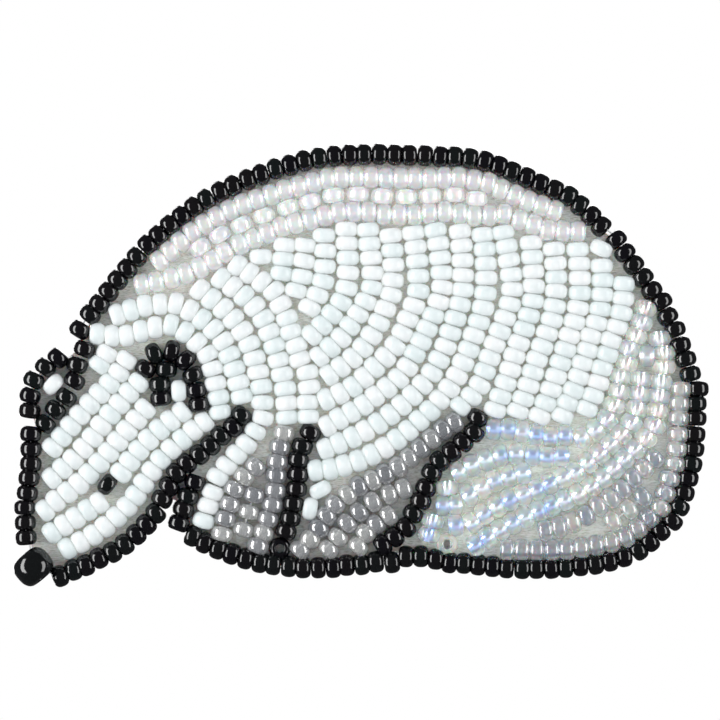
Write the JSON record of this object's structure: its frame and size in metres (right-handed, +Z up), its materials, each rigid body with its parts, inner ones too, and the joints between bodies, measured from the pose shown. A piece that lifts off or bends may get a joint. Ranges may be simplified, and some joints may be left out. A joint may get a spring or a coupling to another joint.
{
  "type": "beaded animal brooch",
  "caption": "Flat bead-embroidered animal brooch: strung glass seed beads on felt, card stiffener and suede backing, with a hinged bar pin and turning safety catch.",
  "frame": {"origin": "on the axis of the brooch pin's stem, above the middle of the animal", "axes": "+X along the stem from its hinge to its point, which is from the animal's nose to its rump; +Z up the animal; the beads face -Y and the pin is on the clothes side, +Y"},
  "size_m": [0.07, 0.0112, 0.0446],
  "materials": {
    "black_glass": "opaque jet black seed beads, high gloss",
    "white_glass": "opaque chalk white seed beads, gloss",
    "ab_glass": "crystal seed beads with a rainbow coat",
    "grey_lustre_glass": "grey lustre seed beads",
    "opal_glass": "silver-lined crystal and opal seed beads",
    "pearl_glass": "clear pearl seed beads",
    "thread": "fine waxed nylon beading thread",
    "sewing_thread": "spun polyester sewing thread",
    "felt": "warm grey-white wool felt, fibrous",
    "card": "plain thin card",
    "suede": "light grey faux suede",
    "nickel_steel": "nickel-plated steel, lightly brushed"
  },
  "bodies": {
    "brooch": {"backing": "suede", "bar_stitches": "sewing_thread", "beading_thread": "thread", "belly_beads": "grey_lustre_glass", "body_row_01_beads": "white_glass", "body_row_02_beads": "white_glass", "body_row_03_beads": "white_glass", "body_row_04_beads": "white_glass", "body_row_05_beads": "white_glass", "body_row_06_beads": "white_glass", "body_row_07_beads": "white_glass", "body_row_08_beads": "white_glass", "body_row_09_beads": "white_glass", "body_row_10_beads": "white_glass", "body_row_11_beads": "white_glass", "body_row_12_beads": "white_glass", "body_row_13_beads": "white_glass", "body_row_14_beads": "white_glass", "catch_housing": "nickel_steel", "cheek_line_beads": "black_glass", "chest_line_beads": "black_glass", "ear_beads": "black_glass", "edge_stitches": "sewing_thread", "embroidery_felt": "felt", "eye_bead": "black_glass", "face_patch_beads": "black_glass", "foreleg_beads": "grey_lustre_glass", "foreleg_line_beads": "black_glass", "haunch_inner_beads": "opal_glass", "haunch_line_beads": "black_glass", "haunch_lower_beads": "opal_glass", "haunch_middle_beads": "opal_glass", "haunch_upper_beads": "opal_glass", "hinge_rivet": "nickel_steel", "muzzle_row_01_beads": "white_glass", "muzzle_row_02_beads": "white_glass", "muzzle_row_03_beads": "white_glass", "muzzle_row_04_beads": "white_glass", "muzzle_row_05_beads": "white_glass", "neck_row_01_beads": "white_glass", "neck_row_02_beads": "white_glass", "neck_row_03_beads": "white_glass", "neck_row_04_beads": "white_glass", "neck_row_05_beads": "white_glass", "nose_bead": "black_glass", "outline_back_beads": "black_glass", "outline_belly_beads": "black_glass", "outline_jaw_beads": "black_glass", "outline_rump_beads": "black_glass", "outline_snout_beads": "black_glass", "outline_thread": "thread", "pin_bar": "nickel_steel", "rump_beads": "pearl_glass", "single_white_beads": "white_glass", "stiffener_card": "card", "stripe_inner_beads": "ab_glass", "stripe_middle_beads": "ab_glass", "stripe_outer_beads": "ab_glass"},
    "pin": {"pin_stem": "nickel_steel"},
    "collar": {"catch_collar": "nickel_steel"}
  },
  "joints": [
    {"name": "pin_swing", "type": "hinge", "parent": "brooch", "child": "pin", "pos_m": [-0.016, 0, 0], "axis": [0, 0, 1], "range_deg": [0, 90]},
    {"name": "catch_turn", "type": "hinge", "parent": "brooch", "child": "collar", "pos_m": [0.0155, 0, 0], "axis": [1, 0, 0], "range_deg": [0, 150]}
  ]
}
